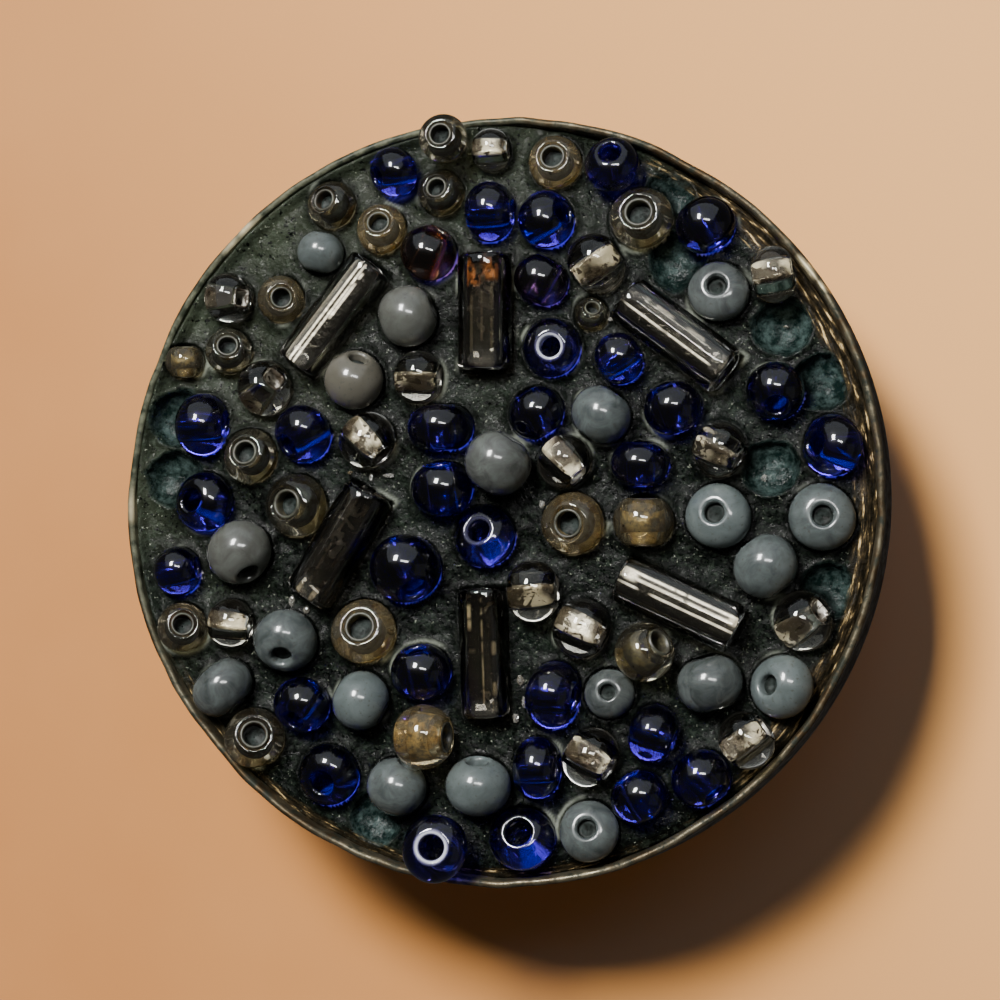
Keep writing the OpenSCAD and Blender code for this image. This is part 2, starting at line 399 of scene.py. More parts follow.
def bore_dirt_material():
    """What has settled in the bore of a clear bead: olive, golden or red-brown."""
    m = Nodes("bore_dirt")
    patch = m.patches(0.42, 0.58, 0.28, 4.0, 0.7)
    tint = m.mix(m.attribute("mark"), (0.045, 0.048, 0.034), (0.22, 0.165, 0.065))
    tint = m.mix(m.attribute("hue"), tint, (0.1, 0.04, 0.018))
    m.set(Base_Color=m.mix(patch, tint, (0.02, 0.018, 0.012)), Roughness=0.45,
          Metallic=m.ramp(patch, (0.0, 0.2), (1.0, 0.0)))
    m.bump(m.noise(0.2, 3.0), 0.3, 0.05)
    return m.material


def lining_material(name, bright, dull, dark, patch_mm, low, high, roughness):
    """Foil in a bore, with dull patches: bright where mark is 1, rusty where hue is 1."""
    m = Nodes(name)
    patch = m.patches(low, high, patch_mm, 4.0, 0.6, 0.8)
    striped = m.mix(m.attribute("mark"), dark, bright)
    striped = m.mix(m.attribute("hue"), striped, (0.36, 0.13, 0.03))
    m.set(Base_Color=m.mix(patch, striped, dull), Metallic=m.ramp(patch, (0.0, 0.4), (1.0, 0.1)),
          Roughness=m.ramp(patch, (0.0, roughness), (1.0, 0.6)))
    m.bump(m.noise(0.26, 3.0), 0.7, 0.1)
    return m.material


def splinter_material():
    m = Nodes("splinter_glass")
    m.set(Base_Color=m.mix(m.attribute("mark"), (0.8, 0.8, 0.76), (0.3, 0.24, 0.14)),
          Roughness=0.05, IOR=1.5, Transmission_Weight=0.85)
    return m.material


def enamel_material():
    """Speckled dark green enamel; bed_looks gives the marks that it reads."""
    m = Nodes("dark_enamel")
    broad = m.ramp(m.noise(2.2, 4.0, 0.6, 0.5),
                   (0.38, (0.0004, 0.0008, 0.0006)), (0.68, (0.008, 0.013, 0.0095)))
    fine = m.ramp(m.noise(0.2, 5.0, 0.75), (0.48, (0.0, 0.0, 0.0)), (0.62, (0.024, 0.034, 0.024)))
    ground = m.mix(0.5, broad, fine)
    ground = m.mix(m.attribute("sage"), ground, (0.028, 0.034, 0.021), "ADD")
    specks = m.patches(0.65, 0.69, 0.13, 3.0, 0.7)
    ground = m.mix(specks, ground, (0.22, 0.24, 0.19))
    pits = m.ramp(m.noise(0.17, 3.0, 0.6), (0.36, 1.0), (0.42, 0.0))
    ground = m.mix(pits, ground, (0.001, 0.0015, 0.001))
    hollow = m.ramp(m.noise(0.34, 4.0, 0.7),
                    (0.42, (0.003, 0.009, 0.008)), (0.68, (0.045, 0.07, 0.066)))
    ground = m.mix(m.attribute("dent"), ground, hollow)
    ground = m.mix(m.attribute("shade"), ground, (0.001, 0.0012, 0.001))
    rim = m.new("ShaderNodeCombineXYZ", {"X": m.attribute("along"), "Y": m.attribute("across")})
    worn = m.ramp(m.noise_at(rim.outputs[0], 1.0, 4.0, 0.65),
                  (0.42, (0.006, 0.005, 0.003)), (0.54, (0.026, 0.019, 0.01)),
                  (0.59, (0.085, 0.06, 0.028)), (0.64, (0.65, 0.47, 0.22)))
    ground = m.mix(m.attribute("gold"), ground, worn)
    lit = m.mix(m.attribute("under"), ground, (0.9, 0.85, 0.7))
    # The pale edge mark is a painted highlight round the beads.
    pale = m.mix(m.attribute("edge"), lit, (0.2, 0.22, 0.18))
    gloss = m.ramp(m.noise(0.14, 3.0, 0.7), (0.5, 0.5), (0.58, 0.08))
    m.set(Base_Color=pale, IOR=1.45, Specular_IOR_Level=0.08,
          Roughness=m.mix(m.attribute("dent"), gloss, (0.1, 0.1, 0.1)))
    m.bump(m.mix(0.4, m.noise(0.16, 3.0, 0.6), m.noise(0.4, 2.0)), 0.8, 0.1)
    return m.material


def tray_material():
    """Silver plate worn to brown brass; the back keeps more of it."""
    m = Nodes("tray_plate")
    worn = m.patches(0.42, 0.58, 1.6, 5.0, 0.65, 0.6)
    grime = m.patches(0.46, 0.6, 0.45, 4.0, 0.7, 0.3)
    base = m.mix(worn, (0.12, 0.105, 0.07), (0.05, 0.034, 0.018))
    base = m.mix(grime, base, (0.02, 0.022, 0.016))
    moss = m.ramp(m.noise(0.5, 4.0, 0.65), (0.4, (0.02, 0.024, 0.016)), (0.65, (0.1, 0.105, 0.07)))
    base = m.mix(m.attribute("moss"), base, moss)
    base = m.mix(m.attribute("shade"), base, (0.01, 0.007, 0.004))
    pale = m.mix(m.attribute("pale"), base, (0.55, 0.48, 0.3))
    plate = m.ramp(m.noise(5.0, 4.0, 0.6, 0.4),
                   (0.42, (0.36, 0.33, 0.26)), (0.64, (0.24, 0.17, 0.09)))
    spots = m.ramp(m.noise(0.9, 4.0, 0.65), (0.66, 0.0), (0.74, 0.7))
    plate = m.mix(spots, plate, (0.07, 0.055, 0.035))
    back = m.attribute("back")
    bare = m.ramp(grime, (0.0, 0.75), (1.0, 0.2))
    metal = m.mix(m.attribute("shade"), bare, (0.1, 0.1, 0.1))
    metal = m.mix(m.attribute("moss"), metal, (0.05, 0.05, 0.05))
    m.set(Base_Color=m.mix(back, pale, plate), Metallic=m.mix(back, metal, (0.6, 0.6, 0.6)),
          Specular_IOR_Level=0.1,
          Roughness=m.ramp(m.noise(0.5, 4.0, 0.7), (0.35, 0.3), (0.7, 0.6)))
    m.bump(m.mix(0.4, m.noise(0.7, 3.0), m.noise(0.15, 3.0, 0.7)), 0.25, 0.05)
    return m.material


def clip_material():
    m = Nodes("clip_plate")
    worn = m.patches(0.48, 0.62, 2.4, 5.0, 0.65, 0.5)
    base = m.mix(worn, (0.6, 0.54, 0.4), (0.4, 0.28, 0.14))
    spots = m.patches(0.62, 0.72, 0.35, 3.0, 0.7)
    m.set(Base_Color=m.mix(spots, base, (0.1, 0.085, 0.055)), Metallic=0.7,
          Roughness=m.ramp(m.noise(0.6, 4.0, 0.7), (0.3, 0.2), (0.7, 0.45)))
    m.bump(m.noise(0.3, 3.0, 0.7), 0.15, 0.05)
    return m.material


def floor_material():
    """A pale warm floor with painted light: a little deeper in tone towards the lower left."""
    m = Nodes("pale_floor")
    across = m.new("ShaderNodeVectorMath", {0: m.where, 1: (0.93, 0.36, 0.0)},
                   operation="DOT_PRODUCT")
    span = {"Value": across.outputs["Value"], "From Min": -25 * MM, "From Max": 28 * MM}
    side = m.new("ShaderNodeMapRange", span, interpolation_type="SMOOTHSTEP")
    # Painted light: the colour brightens across the floor from lower left to upper right.
    painted_light_gradient = m.mix(side.outputs[0], (0.37, 0.14, 0.026), (0.72, 0.36, 0.115))
    cloudy = m.ramp(m.noise(9.0, 3.0), (0.3, 0.0), (0.7, 0.12))
    m.set(Base_Color=m.mix(cloudy, painted_light_gradient, (0.6, 0.3, 0.1)), Roughness=0.8)
    return m.material


# Beads

def squared(turn, share):
    """1 all round for share 0, and the outline of a rounded square for share 1."""
    power = 5.0
    square = (np.abs(np.cos(turn)) ** power + np.abs(np.sin(turn)) ** power) ** (-1 / power)
    return 1 + share * (square - 1)


def points_about(bead, radius, height, turn):
    """Points at a radius and turn about the bead's axis and at a height along it."""
    u, v = square_to(bead["axis"])
    across = np.cos(turn)[..., None] * u + np.sin(turn)[..., None] * v
    points = bead["centre"] + radius[..., None] * across + height[..., None] * bead["axis"]
    return points.reshape(-1, 3)


def ring_grid(rows, around):
    """Rows of (radius, height) as grids of radius, height and turn, one column for each turn."""
    radius, height = np.array(rows).T
    turn = np.linspace(0, FULL_TURN, around, endpoint=False)
    r, t = np.meshgrid(radius, turn, indexing="ij")
    return r, np.repeat(height[:, None], around, 1), t


def bead_outline(wide, long, bore):
    """(radius, height) round a bead's section, and which of the points are in the bore."""
    round_r = long / 2
    ring_r = wide / 2 - round_r
    lip = 0.06 * wide
    end = math.acos(max(-1, min(1, (bore + lip - ring_r) / round_r)))
    swing = np.linspace(-end, end, 22)
    outside = list(zip(ring_r + round_r * np.cos(swing), round_r * np.sin(swing)))
    wall = outside[-1][1] - lip
    inside = arc(bore + lip, wall, lip, 120, 180, 3)
    inside += [(bore, wall * share) for share in (0.5, 0.0, -0.5)]
    inside += arc(bore + lip, -wall, lip, 180, 240, 3)
    return outside + inside, np.array([False] * len(outside) + [True] * len(inside))


def bead_body(bead, rng, square, bore):
    """A drilled glass bead, a little uneven as a pressed and tumbled bead is; also its spin."""
    around = 36
    rows, inside = bead_outline(bead["wide"] * BEAD_GROW, bead["long"] * BEAD_GROW, bore)
    r, h, t = ring_grid(rows, around)
    phase = rng.uniform(0, ANY_TURN, 3)
    uneven = 1 - 0.016 * (1 + np.cos(2 * t + phase[0])) - 0.01 * (1 + np.cos(3 * t + phase[1]))
    r = np.where(inside[:, None], r * squared(t, square), r * uneven)
    h = h * (1 - 0.02 * (1 + np.cos(t + phase[2])) * np.sign(h))
    spin = rng.uniform(0, ANY_TURN)
    return points_about(bead, r, h, t + spin), loop_faces(len(rows), around), spin


def sleeve(bead, spin, outer, inner, half, square, around=32, along=9):
    """A thin tube in a bore; also each point's turn about the axis, and its place from -1 to 1."""
    heights = np.linspace(-half, half, along)
    rows = [(outer, h) for h in heights] + [(inner, h) for h in heights[::-1]]
    r, h, t = ring_grid(rows, around)
    verts = points_about(bead, r * squared(t, square), h, t + spin)
    return verts, loop_faces(len(rows), around), t.ravel(), h.ravel() / half


def plug(bead, radius, half, around=24):
    """What fills the middle of a bore, hollowed at both ends."""
    rows = [(0.02, -half + 0.12), (radius * 0.6, -half + 0.07), (radius, -half),
            (radius, half), (radius * 0.6, half - 0.07), (0.02, half - 0.12)]
    r, h, t = ring_grid(rows, around)
    return points_about(bead, r, h, t), loop_faces(len(rows), around, closed=False)


def bead_piece(name, kind, materials, seed, square=0.0, narrow=1.0, filled=0.0, lining=None,
               looks=()):
    """All the beads of one kind, in materials for the glass, the lining and the plugs.

    Their bores are square from 0 to 1, narrow times as wide as the solids', plugged over the share
    filled of their length, and lined with "dirt" or "foil". looks gives x, y, mark, hue and lip of
    the beads that stand out; lip is the strength of a painted highlight ring round the bore.
    """
    rng = np.random.default_rng(seed)
    b = Builder()
    for bead in BEADS[kind]:
        centre, axis, bore = bead["centre"], bead["axis"], bead["bore"] * narrow
        mark, hue, lip = rng.uniform(0, 1), 0.0, 0.0
        for x, y, *look in looks:
            if math.hypot(centre[0] - x, centre[1] - y) < 0.7:
                mark, hue, lip = look
        verts, faces, spin = bead_body(bead, rng, square, bore)
        # Painted highlight: lip lays a ring on the bead's upper end, where its face turns into the
        # bore.
        ring = np.linalg.norm(np.cross(verts - centre, axis), axis=1)
        ring_at = bead["wide"] / 2 - bead["long"] * 0.42
        highlight_ring = lip * np.exp(-((ring - ring_at) / 0.06) ** 2) * (verts[:, 2] > centre[2])
        b.add(verts, faces, 0, mark=mark, hue=hue, lip=highlight_ring)
        if filled:
            # A lying bead shows its plug through the glass, where it looks like the lining
            lying = abs(axis[2]) < 0.5
            verts, faces = plug(bead, bore * 1.02, bead["long"] / 2 * filled)
            b.add(verts, faces, 1 if lying else len(materials) - 1, mark=mark, hue=hue)
        if lining:
            half = bead["long"] / 2 * 0.86
            verts, faces, turn, along = sleeve(bead, spin, bore * 0.97, bore * 0.8, half, square)
            wear = (np.cos(3 * along + rng.uniform(0, ANY_TURN))
                    + 0.7 * np.cos(2 * turn + rng.uniform(0, ANY_TURN)))
            within = np.abs(along) < 0.9
            shine = smooth_step(0.45 + 0.9 * wear) if lining == "foil" else mark * within
            b.add(verts, faces, 1, mark=shine, hue=hue * within)
    piece = b.piece(name, materials)
    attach(piece, "root")
    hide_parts("beads_" + kind)


# Tubes

BORE_SQUARE = 0.6


def tube_outline(outer, bore, half, lip):
    """(radius, height) round a tube's section, and which of the points are in the bore."""
    inner_lip = min(lip, (outer - bore) / 2)
    wall = [(outer, h) for h in np.linspace(-half + lip, half - lip, 13)]
    wall += arc(outer - lip, half - lip, lip, 30, 90, 3)
    inside = arc(bore + inner_lip, half - inner_lip, inner_lip, 90, 170, 3)
    inside += [(bore, h * half) for h in (0.6, 0.2, -0.2, -0.6)]
    inside += arc(bore + inner_lip, -half + inner_lip, inner_lip, -170, -90, 3)
    end = arc(outer - lip, -half + lip, lip, -90, -30, 3)
    where = [False] * len(wall) + [True] * len(inside) + [False] * len(end)
    return wall + inside + end, np.array(where)


def foil_looks(bugle, verts, along, stripes, rust, seed):
    """How bright each point of a tube's lining is painted, in stripes of reflected lamp light, and
    how rusty it is.
    """
    d = bugle["axis"]
    out = verts - bugle["centre"]
    out -= (out @ d)[:, None] * d
    side = unit(np.cross(d, [0.0, 0.0, 1.0]))
    if side[0] > 0:
        side = -side
    lean = np.degrees(np.arctan2(out @ side, out[:, 2]))
    up = along * np.sign(d[1])
    painted_shine, stain = np.zeros(len(verts)), np.zeros(len(verts))
    # Painted reflections of the lamps: each stripe lies at a fixed turn from straight up.
    for at, half_width, bright, broken, low, high in stripes:
        edge = smooth_step(1.5 - np.abs(lean - at) / half_width)
        gaps = value_noise(along * 9 + at, along * 0 + seed, 1.0, seed)
        whole = smooth_step((gaps + 1.1 - broken * 1.6) / 0.35)
        painted_shine = np.maximum(painted_shine, edge * bright * between(up, low, high, 0.1) * whole)
    for at, half_width, low, high in rust:
        mottled = (value_noise(lean / 12, up * 7, 1.0, seed + 1)
                   + 0.6 * value_noise(lean / 5, up * 16, 1.0, seed + 2))
        edge = smooth_step(1.5 - np.abs(lean - at) / half_width) * between(up, low, high, 0.1)
        stain = np.maximum(stain, edge * smooth_step((mottled + 0.25) / 0.5))
    return painted_shine, stain


def bugle_piece(node, materials, seed, stripes, rust=()):
    """A glass tube cut from a cane, its square bore lined with foil that is painted bright in
    stripes of reflected light.

    Each stripe is painted reflected light and gives its turn in degrees from straight up, its half
    width in degrees, how bright and how broken it is, and from where to where it runs, from -1 at
    the lower end to 1 at the upper. Each patch of rust gives its turn, half width, and from where
    to where it runs.
    """
    rng = np.random.default_rng(seed)
    bugle = BUGLES[node]
    half, outer = bugle["long"] / 2 * TUBE_GROW_LONG, bugle["wide"] / 2 * TUBE_GROW_WIDE
    bore = max(bugle["bore"], 0.6 * outer)
    rows, inside = tube_outline(outer, bore, half, 0.12 * bugle["wide"])
    around = 48
    r, h, t = ring_grid(rows, around)
    phase = rng.uniform(0, ANY_TURN, 2)
    faceted = 1 - 0.008 * (1 + np.cos(6 * t + phase[0]))
    r = np.where(inside[:, None], r * squared(t, BORE_SQUARE), r * faceted)
    ragged = 1.5 + np.cos(t + phase[1]) + 0.5 * np.cos(3 * t + phase[0])
    near_end = smooth_step((np.abs(h) - half * 0.8) / (half * 0.2))
    h = h - np.sign(h) * 0.04 * ragged * near_end
    b = Builder()
    b.add(points_about(bugle, r, h, t), loop_faces(len(rows), around), 0, mark=0.5)
    verts, faces, _, along = sleeve(bugle, 0.0, bore * 0.97, bore * 0.85, half * 0.95,
                                    BORE_SQUARE, around=144, along=41)
    painted_shine, stain = foil_looks(bugle, verts, along, stripes, rust, seed)
    b.add(verts, faces, 1, mark=painted_shine, hue=stain)
    piece = b.piece(node + "_glass", materials)
    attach(piece, "root")
    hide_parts(node)


# Enamel bed

# Where beads are lost: x, y, radius and depth of the dent
DENTS = (
    (-10.85, 2.8, 0.95, 0.5), (-11.0, 0.75, 0.95, 0.55), (5.6, 9.65, 0.9, 0.35),
    (5.9, 7.7, 0.95, 0.4), (9.3, 5.5, 0.95, 0.45), (10.5, 3.7, 0.9, 0.45),
    (8.9, 0.95, 0.9, 0.4), (10.7, -3.0, 0.9, 0.4), (-4.1, -10.4, 0.85, 0.35),
)

# How much light each kind of bead gathers on the bed under its far side
LIT_UNDER = {"cobalt": 1.0, "opal": 0.0, "smoke": 0.1, "silver": 0.05, "bugle": 0.0}

# Where no bead is near, and where none is above
FAR = 9.0
NO_ROOF = 99.0


def rim_form(turn):
    """The bent rim's radius as a share of a true circle's."""
    wave = (0.45 * np.cos(2 * (turn - 0.95)) + 0.35 * np.cos(3 * (turn - 2.6))
            + 0.2 * np.cos(5 * (turn + 0.3)))
    return 1 - 0.004 * (1 - wave)


def disc_grid(n):
    """A square grid of n by n points laid evenly over the unit disc."""
    a, b = np.meshgrid(np.linspace(-1, 1, n), np.linspace(-1, 1, n))
    wide = np.abs(a) > np.abs(b)
    with np.errstate(divide="ignore", invalid="ignore"):
        turn = np.where(wide, math.pi / 4 * b / a, math.pi / 2 - math.pi / 4 * a / b)
    radius = np.where(wide, a, b)
    turn = np.nan_to_num(turn)
    return radius * np.cos(turn), radius * np.sin(turn)


def below_tube(tube, x, y, z):
    """How far beside a tube each point is, less than 0 under it, and the tube's height above it."""
    c, d = tube["centre"], tube["axis"]
    round_r = tube["wide"] / 2 * 1.07
    along = np.abs((x - c[0]) * d[0] + (y - c[1]) * d[1]) - tube["long"] / 2 * 1.02
    across = np.abs((x - c[0]) * d[1] - (y - c[1]) * d[0])
    drop = np.clip(c[2] - z - 0.1, 0, round_r * 0.9)
    beside = across - np.sqrt(round_r ** 2 - drop ** 2)
    corner = np.hypot(np.maximum(beside, 0), np.maximum(along, 0))
    side = np.where(corner > 0, corner, np.maximum(beside, along))
    roof = c[2] - np.sqrt(np.maximum(round_r ** 2 - across ** 2, 0))
    return side, np.where((across < round_r) & (along < 0), roof, NO_ROOF)


def below_bead(bead, x, y, z):
    """The same for a bead, which is taken as a ring of balls."""
    c = bead["centre"]
    round_r = bead["long"] / 2 * BEAD_GROW
    ring_r = max(0.0, bead["wide"] / 2 * BEAD_GROW - round_r)
    u, v = square_to(bead["axis"])
    balls = [c] + [c + ring_r * (math.cos(a) * u + math.sin(a) * v)
                   for a in np.linspace(0, FULL_TURN, 16, endpoint=False)]
    side, roof = np.full(len(x), FAR), np.full(len(x), NO_ROOF)
    for s in balls:
        flat = (x - s[0]) ** 2 + (y - s[1]) ** 2
        drop = np.clip(s[2] - z - 0.1, 0, round_r * 0.9)
        side = np.minimum(side, np.sqrt(flat) - np.sqrt(round_r ** 2 - drop ** 2))
        under = s[2] - np.sqrt(np.maximum(round_r ** 2 - flat, 0))
        roof = np.minimum(roof, np.where(flat < round_r ** 2, under, NO_ROOF))
    return side, roof


def press_dents(x, y, z):
    """Sinks the dents of lost beads into z; gives how dented each point is."""
    dent = np.zeros_like(z)
    ragged = 1 + 0.07 * value_noise(x, y, 0.5, 9) + 0.05 * value_noise(x, y, 0.2, 10)
    for cx, cy, r, depth in DENTS:
        s = np.hypot(x - cx, y - cy) / r * ragged
        z += 0.08 * np.exp(-((s - 1.05) / 0.12) ** 2)
        z -= (depth + 0.1) * np.sqrt(np.clip(1 - s * s, 0, 1))
        dent = np.maximum(dent, smooth_step((1.12 - s) / 0.2))
    return dent


def bed_looks(x, y, closest, dent, under):
    """The enamel's marks: pale edges round the beads, a painted highlight of light caught where the
    enamel rises against them, the greener dents, light gathered under blue beads, the sage upper
    left, shade close to the beads, gold where the rim is worn bare, and places along and across the
    rim for the scratches in the gold.
    """
    away, turn = polar(x, y)
    # Painted highlight: a thin pale line round each bead, broken up by noise.
    edge = 0.6 * np.exp(-((closest - 0.09) / 0.06) ** 2)
    edge *= smooth_step(-0.9 + 2.2 * value_noise(x, y, 0.9, 7))
    shade = 0.97 * np.exp(-np.maximum(closest, 0) / 0.38)
    sage = smooth_step((0.3 * (y - x) + 1.5 * value_noise(x, y, 3.0, 8) - 1.0) / 5)
    right = smooth_step((away - BED_R + 0.75 + 0.25 * value_noise(x, y, 0.9, 14)) / 0.25)
    right *= between(turn, -62, 70, 35, 20)
    lower = smooth_step((away - BED_R + 0.4) / 0.15) * between(turn, -160, -62, 20)
    return {"edge": edge * (1 - dent), "dent": dent * 0.85, "under": under, "sage": sage * 0.8,
            "shade": shade, "gold": 0.95 * np.maximum(right, 0.8 * lower),
            "along": np.radians(turn) * BED_R / 0.9, "across": away / 0.14}


def bed_surface(x, y):
    """Height of the enamel at each point, and its marks.

    It is crowned and uneven, climbs round each bead and stays under it, and stands higher against
    the rim on the left.
    """
    away, turn = polar(x, y)
    z = BED_EDGE_Z + BED_RISE * smooth_step((BED_R - away) / (BED_R - CROWN_R + 1.5))
    z += 0.07 * value_noise(x, y, 2.3, 1) + 0.05 * value_noise(x, y, 0.9, 2)
    z += 0.035 * value_noise(x, y, 0.45, 3) + 0.02 * value_noise(x, y, 0.24, 4)
    climb, under = np.zeros_like(z), np.zeros_like(z)
    closest, roof = np.full_like(z, FAR), np.full_like(z, NO_ROOF)
    rng = np.random.default_rng(11)
    everything = [(kind, bead) for kind, beads in BEADS.items() for bead in beads]
    everything += [("bugle", bugle) for bugle in BUGLES.values()]
    for kind, bead in everything:
        c = bead["centre"]
        tube = kind == "bugle"
        reach = max(bead["wide"], bead["long"]) / 2 + 1.2
        here = np.flatnonzero((np.abs(x - c[0]) < reach) & (np.abs(y - c[1]) < reach))
        px, py = x[here], y[here]
        side, lowest = (below_tube if tube else below_bead)(bead, px, py, z[here])
        rise = rng.uniform(0.1, 0.3) * (0.7 if tube else 1.0)
        climb[here] += rise * np.exp(-np.maximum(side, 0) / 0.15)
        closest[here] = np.minimum(closest[here], side)
        roof[here] = np.minimum(roof[here], lowest)
        toward = (px - c[0]) * AWAY_FROM_LIGHT[0] + (py - c[1]) * AWAY_FROM_LIGHT[1]
        far_side = smooth_step((toward / (bead["wide"] / 2) - 0.45) / 0.2)
        under[here] = np.maximum(under[here], far_side * (side < 0.0) * LIT_UNDER[kind])
    z += np.minimum(climb, 0.4)
    dent = press_dents(x, y, z)
    left = between(turn % 360, 70, 225, 30)
    z += (0.26 * left - 0.22 * (1 - left)) * smooth_step((away - BED_R + 0.45) / 0.4)
    z = np.minimum(z, roof - 0.012)
    return z, bed_looks(x, y, closest, dent, under)


def enamel_piece():
    n = 304
    ux, uy = disc_grid(n)
    form = rim_form(np.arctan2(uy, ux))
    x, y = ux * BED_R * form, uy * BED_R * form
    z, looks = bed_surface(x.ravel(), y.ravel())
    top = np.stack([x.ravel(), y.ravel(), z], 1)
    grid = np.arange(n * n).reshape(n, n)
    faces = np.stack([grid[:-1, :-1], grid[:-1, 1:], grid[1:, 1:], grid[1:, :-1]], -1)
    faces = faces.reshape(-1, 4).tolist()
    # The edge of the grid, once round, and a skirt from it down to a flat underside
    ring = np.concatenate([grid[0], grid[1:, -1], grid[-1, -2::-1], grid[-2:0:-1, 0]]).tolist()
    skirt = top[ring].copy()
    skirt[:, 2] = TRAY_Z + 0.7
    first, count = len(top), len(ring)
    for k in range(count):
        after = (k + 1) % count
        faces.append((ring[k], first + k, first + after, ring[after]))
    faces.append(tuple(first + k for k in range(count)))
    marks = {key: np.append(values, np.zeros(count)) for key, values in looks.items()}
    piece = mesh_piece("enamel", np.concatenate([top, skirt]), faces, [enamel_material()], marks)
    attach(piece, "root")
    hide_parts("enamel_bed")


# Splinters of glass in the bed: x, y and size
SPLINTERS = (
    (-4.5, 0.45, 0.2), (-3.95, 0.1, 0.2), (-3.6, 0.8, 0.15), (-4.9, 0.9, 0.14),
    (-4.2, 0.75, 0.12), (3.75, 5.8, 0.13), (0.75, -5.9, 0.13), (0.9, -6.6, 0.15),
    (0.6, -7.1, 0.11), (-6.9, -3.3, 0.13), (-6.4, -3.6, 0.12), (9.35, 5.55, 0.12),
    (8.65, 0.65, 0.14), (0.1, 9.4, 0.1), (-1.3, 3.0, 0.11), (1.5, -0.2, 0.1), (4.6, -8.9, 0.1),
)


def splinter_piece():
    """Small rough lumps with flat faces, each half sunk in the bed."""
    rng = np.random.default_rng(77)
    rows, around = 7, 9
    tilt = np.linspace(0.15, math.pi - 0.15, rows)
    turn = np.linspace(0, FULL_TURN, around, endpoint=False)
    p, t = np.meshgrid(tilt, turn, indexing="ij")
    ball = np.stack([np.sin(p) * np.cos(t), np.sin(p) * np.sin(t), np.cos(p)], -1)
    faces = loop_faces(rows, around, closed=False)
    faces += [tuple(range(around))[::-1], tuple((rows - 1) * around + j for j in range(around))]
    b = Builder()
    for x, y, size in SPLINTERS:
        z = bed_surface(np.array([x]), np.array([y]))[0][0]
        rough = size * (1 + 0.25 * rng.uniform(-1, 1, p.shape))
        form = (rough[..., None] * ball).reshape(-1, 3)
        form *= rng.uniform(0.4, 1.5, 3) * [1.0, 1.0, 0.7]
        b.add(form + [x, y, z + size * 0.25], faces, 0, mark=rng.uniform(0, 1))
    piece = b.piece("splinters", [splinter_material()], smooth=False)
    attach(piece, "root")


# Tray and clip

def lathe(outline, around, bend=None):
    """Turns (radius, height) points about Z, and closes both ends at the axis.

    bend(turn, radius, height) gives the final radius and height.
    """
    r, h, t = ring_grid(outline, around)
    if bend:
        r, h = bend(t, r, h)
    verts = np.stack([r * np.cos(t), r * np.sin(t), h], -1).reshape(-1, 3)
    verts = np.concatenate([verts, [[0, 0, outline[0][1]], [0, 0, outline[-1][1]]]])
    faces = loop_faces(len(outline), around, closed=False)
    last = (len(outline) - 1) * around
    for j in range(around):
        after = (j + 1) % around
        faces.append((after, j, len(verts) - 2))
        faces.append((last + j, last + after, len(verts) - 1))
    return verts, faces


def dented_rim(t, r, h):
    """The worn rim: bent out of round, rippled and uneven in height."""
    up = smooth_step((h - TRAY_Z - 0.5) / 1.5)
    x, y = 8 * np.cos(t), 8 * np.sin(t)
    ripple = (0.05 * value_noise(x + 40, y + 40, 1.3, 21)
              + 0.03 * value_noise(x + 40, y + h + 40, 0.5, 22))
    share = smooth_step((r - 9) / 3)
    pushed = r * (1 + (rim_form(t) - 1) * share) + (ripple - 0.08) * share * up
    lowered = h - (0.05 + 0.05 * value_noise(x + 60, y + 60, 1.7, 23)) * up
    return pushed, lowered


# Pale patches on the rim: x, y and reach
RIM_PALE_PATCHES = ((-12.0, -0.2, 0.5), (-11.9, -1.4, 0.4), (-8.1, 8.6, 0.9), (10.6, 6.9, 1.2))


def tray_looks(x, y, z):
    """The tray's marks: pale patches, shaded walls, the mossy left rim and the back."""
    away, turn = polar(x, y)
    turn %= 360
    pale = np.zeros(len(x))
    for cx, cy, reach in RIM_PALE_PATCHES:
        close = np.exp(-((x - cx) ** 2 + (y - cy) ** 2) / reach ** 2)
        pale = np.maximum(pale, close * smooth_step(0.4 + 2.2 * value_noise(x, y, 0.4, 27)))
    moss = between(turn, 75, 215, 30) * smooth_step((RIM_R - 0.12 - away) / 0.08)
    wall = (away > RIM_R - 0.3) * smooth_step((RIM_Z - 0.25 - z) / 0.5)
    outer = smooth_step((away - RIM_R + 0.2) / 0.08) * (z > TRAY_Z + 1)
    outer = outer * between(turn, 60, 230, 30) * (1 - pale)
    return {"pale": pale * (z > TRAY_Z + 1), "shade": np.maximum(0.9 * wall, outer),
            "moss": moss, "back": smooth_step((TRAY_Z + 0.5 - z) / 0.4)}


def tray_piece():
    bend, edge = 0.7, 0.12
    outline = [(r, TRAY_Z) for r in np.linspace(1.5, RIM_R - bend - 0.3, 10)]
    outline += arc(RIM_R - bend, TRAY_Z + bend, bend, -90, 0, 9)
    outline += [(RIM_R, z) for z in np.linspace(TRAY_Z + bend + 0.2, RIM_Z - edge - 0.1, 8)]
    outline += arc(RIM_R - edge, RIM_Z - edge, edge, 0, 180, 11)
    outline += [(RIM_R - 2 * edge - 0.1 * (RIM_Z - z), z)
                for z in np.linspace(RIM_Z - edge - 0.1, TRAY_Z + 0.8, 6)]
    outline += [(RIM_R - RIM_T - 0.1, TRAY_Z + 0.6), (1.0, TRAY_Z + 0.6)]
    verts, faces = lathe(outline, 288, dented_rim)
    piece = mesh_piece("tray_body", verts, faces, [tray_material()], tray_looks(*verts.T))
    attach(piece, "root")
    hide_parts("tray")


def rounded_disc(r, low, high, edge):
    outline = [(s, low) for s in np.linspace(r * 0.3, r - edge, 4)]
    outline += arc(r - edge, low + edge, edge, -60, 0, 4)
    outline += arc(r - edge, high - edge, edge, 0, 90, 5)
    outline += [(s, high) for s in np.linspace(r - edge, r * 0.3, 4)][1:]
    return lathe(outline, 96)


